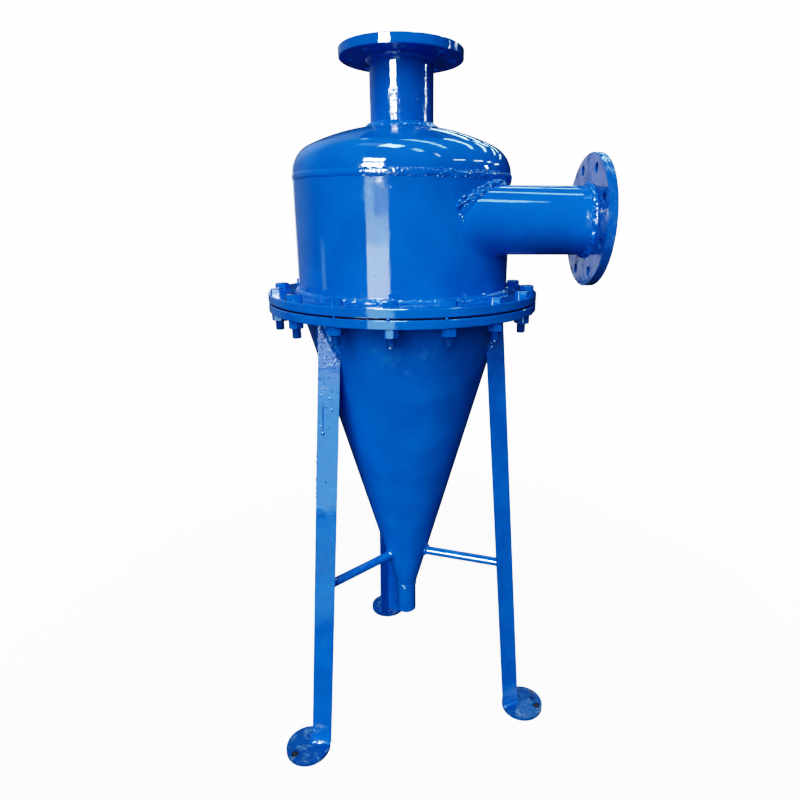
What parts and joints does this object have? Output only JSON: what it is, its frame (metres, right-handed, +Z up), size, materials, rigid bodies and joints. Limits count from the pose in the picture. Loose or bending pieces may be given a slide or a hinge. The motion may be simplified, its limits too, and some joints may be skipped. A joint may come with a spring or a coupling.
{
  "type": "hydrocyclone",
  "caption": "Welded steel hydrocyclone on angle-steel legs: dished head, barrel with an off-centre flanged inlet, central flanged outlet on top, bolted cone and underflow pipe.",
  "frame": {"origin": "on the floor, under the cyclone's own axis, at the centre of the circle of the anchor holes in the foot plates", "axes": "+Z up along the axis of cone, barrel and outlet; +X along the inlet pipe, the way its flange faces; +Y makes a right-handed frame, away from the side where the inlet sits"},
  "size_m": [0.5913, 0.5802, 1.362],
  "materials": {
    "painted_plate": "gloss blue enamel, sprayed thick over rough plate",
    "painted_flange": "gloss blue enamel over turned steel",
    "painted_frame": "gloss blue enamel over rolled angle and bar",
    "painted_weld": "gloss blue enamel over rippled weld beads",
    "painted_fastener": "gloss blue enamel over bolts and nuts",
    "gasket_rubber": "matt black sheet rubber"
  },
  "bodies": {
    "root": {"outlet_flange": "painted_flange", "outlet_flange_weld": "painted_weld", "outlet_pipe": "painted_plate", "outlet_pipe_weld": "painted_weld", "dished_head": "painted_plate", "head_seam_weld": "painted_weld", "barrel": "painted_plate", "inlet_pipe": "painted_plate", "inlet_pipe_weld": "painted_weld", "inlet_flange": "painted_flange", "inlet_flange_weld": "painted_weld", "upper_body_flange": "painted_flange", "upper_flange_weld": "painted_weld", "body_gasket": "gasket_rubber", "lower_body_flange": "painted_flange", "lower_flange_weld": "painted_weld", "cone": "painted_plate", "underflow_pipe": "painted_plate", "underflow_weld": "painted_weld", "body_bolts": "painted_fastener", "body_nuts": "painted_fastener", "leg_right": "painted_frame", "leg_weld_right": "painted_weld", "foot_plate_right": "painted_frame", "foot_weld_right": "painted_weld", "brace_right": "painted_frame", "brace_weld_right": "painted_weld", "leg_rear": "painted_frame", "leg_weld_rear": "painted_weld", "foot_plate_rear": "painted_frame", "foot_weld_rear": "painted_weld", "brace_rear": "painted_frame", "brace_weld_rear": "painted_weld", "leg_front_left": "painted_frame", "leg_weld_front_left": "painted_weld", "foot_plate_front_left": "painted_frame", "foot_weld_front_left": "painted_weld", "brace_front_left": "painted_frame", "brace_weld_front_left": "painted_weld"}
  },
  "joints": []
}
